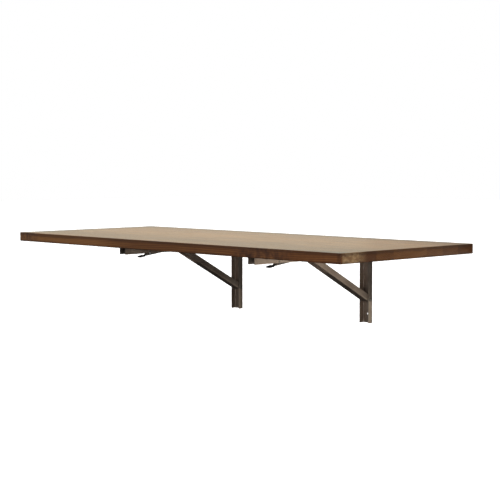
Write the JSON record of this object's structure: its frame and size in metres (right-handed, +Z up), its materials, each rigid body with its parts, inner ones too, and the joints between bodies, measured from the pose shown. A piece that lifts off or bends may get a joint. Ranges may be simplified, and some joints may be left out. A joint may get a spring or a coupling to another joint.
{
  "type": "wall mounted folding workbench",
  "caption": "Wooden worktop on hinged steel brackets that screw to a wall: braces slide in slotted arms, release levers let the top fold down flat.",
  "frame": {"origin": "on the wall plane, midway between the two wall channels, level with the top surface of the worktop", "axes": "+X along the wall to the right as seen from the front, +Y into the wall, +Z up"},
  "size_m": [1.524, 0.6446, 0.2856],
  "materials": {
    "stained_wood": "satin",
    "bronze_steel": "satin",
    "plated_steel": "satin",
    "black_vinyl": "matte"
  },
  "bodies": {
    "wall_frame": {"left_wall_channel": "bronze_steel", "left_hinge_rivet": "plated_steel", "left_hinge_washer_outer": "plated_steel", "left_hinge_washer_inner": "plated_steel", "left_brace_rivet": "plated_steel", "right_wall_channel": "bronze_steel", "right_hinge_rivet": "plated_steel", "right_hinge_washer_outer": "plated_steel", "right_hinge_washer_inner": "plated_steel", "right_brace_rivet": "plated_steel"},
    "leaf": {"worktop": "stained_wood", "left_arm": "bronze_steel", "left_lever_rivet": "plated_steel", "left_lever_spring": "plated_steel", "left_top_screw_1": "plated_steel", "left_top_screw_2": "plated_steel", "left_top_screw_3": "plated_steel", "left_top_screw_4": "plated_steel", "right_arm": "bronze_steel", "right_lever_rivet": "plated_steel", "right_lever_spring": "plated_steel", "right_top_screw_1": "plated_steel", "right_top_screw_2": "plated_steel", "right_top_screw_3": "plated_steel", "right_top_screw_4": "plated_steel"},
    "left_brace": {"left_brace": "bronze_steel", "left_ear_stud_outer": "plated_steel", "left_ear_stud_inner": "plated_steel"},
    "left_slide": {"left_slide_pin": "plated_steel"},
    "left_lever": {"left_release_lever": "bronze_steel", "left_lever_grip": "black_vinyl"},
    "right_brace": {"right_brace": "bronze_steel", "right_ear_stud_outer": "plated_steel", "right_ear_stud_inner": "plated_steel"},
    "right_slide": {"right_slide_pin": "plated_steel"},
    "right_lever": {"right_release_lever": "bronze_steel", "right_lever_grip": "black_vinyl"}
  },
  "joints": [
    {"name": "leaf_fold", "type": "hinge", "parent": "wall_frame", "child": "leaf", "pos_m": [0, -0.033, -0.045], "axis": [1, 0, 0], "range_deg": [0, 90]},
    {"name": "left_brace_swing", "type": "hinge", "parent": "wall_frame", "child": "left_brace", "pos_m": [-0.3098, -0.0115, -0.2062], "axis": [1, 0, 0], "range_deg": [0, 118.4]},
    {"name": "left_pin_slide", "type": "slide", "parent": "leaf", "child": "left_slide", "axis": [0, -1, 0], "range_m": [0, 0.22994]},
    {"name": "left_lever_press", "type": "hinge", "parent": "leaf", "child": "left_lever", "pos_m": [-0.3098, -0.4378, -0.0571], "axis": [-1, 0, 0], "range_deg": [0, 4.5], "stiffness_Nm_per_rad": 0.5, "springref_deg": -20.05},
    {"name": "right_brace_swing", "type": "hinge", "parent": "wall_frame", "child": "right_brace", "pos_m": [0.3098, -0.0115, -0.2062], "axis": [1, 0, 0], "range_deg": [0, 118.4]},
    {"name": "right_pin_slide", "type": "slide", "parent": "leaf", "child": "right_slide", "axis": [0, -1, 0], "range_m": [0, 0.22994]},
    {"name": "right_lever_press", "type": "hinge", "parent": "leaf", "child": "right_lever", "pos_m": [0.3098, -0.4378, -0.0571], "axis": [-1, 0, 0], "range_deg": [0, 4.5], "stiffness_Nm_per_rad": 0.5, "springref_deg": -20.05}
  ],
  "couplings": [
    {"joint": "left_brace_swing", "follows": "leaf_fold", "ratio": 1.3156},
    {"joint": "left_pin_slide", "follows": "leaf_fold", "m_per_rad": 0.14639},
    {"joint": "right_brace_swing", "follows": "leaf_fold", "ratio": 1.3156},
    {"joint": "right_pin_slide", "follows": "leaf_fold", "m_per_rad": 0.14639}
  ]
}
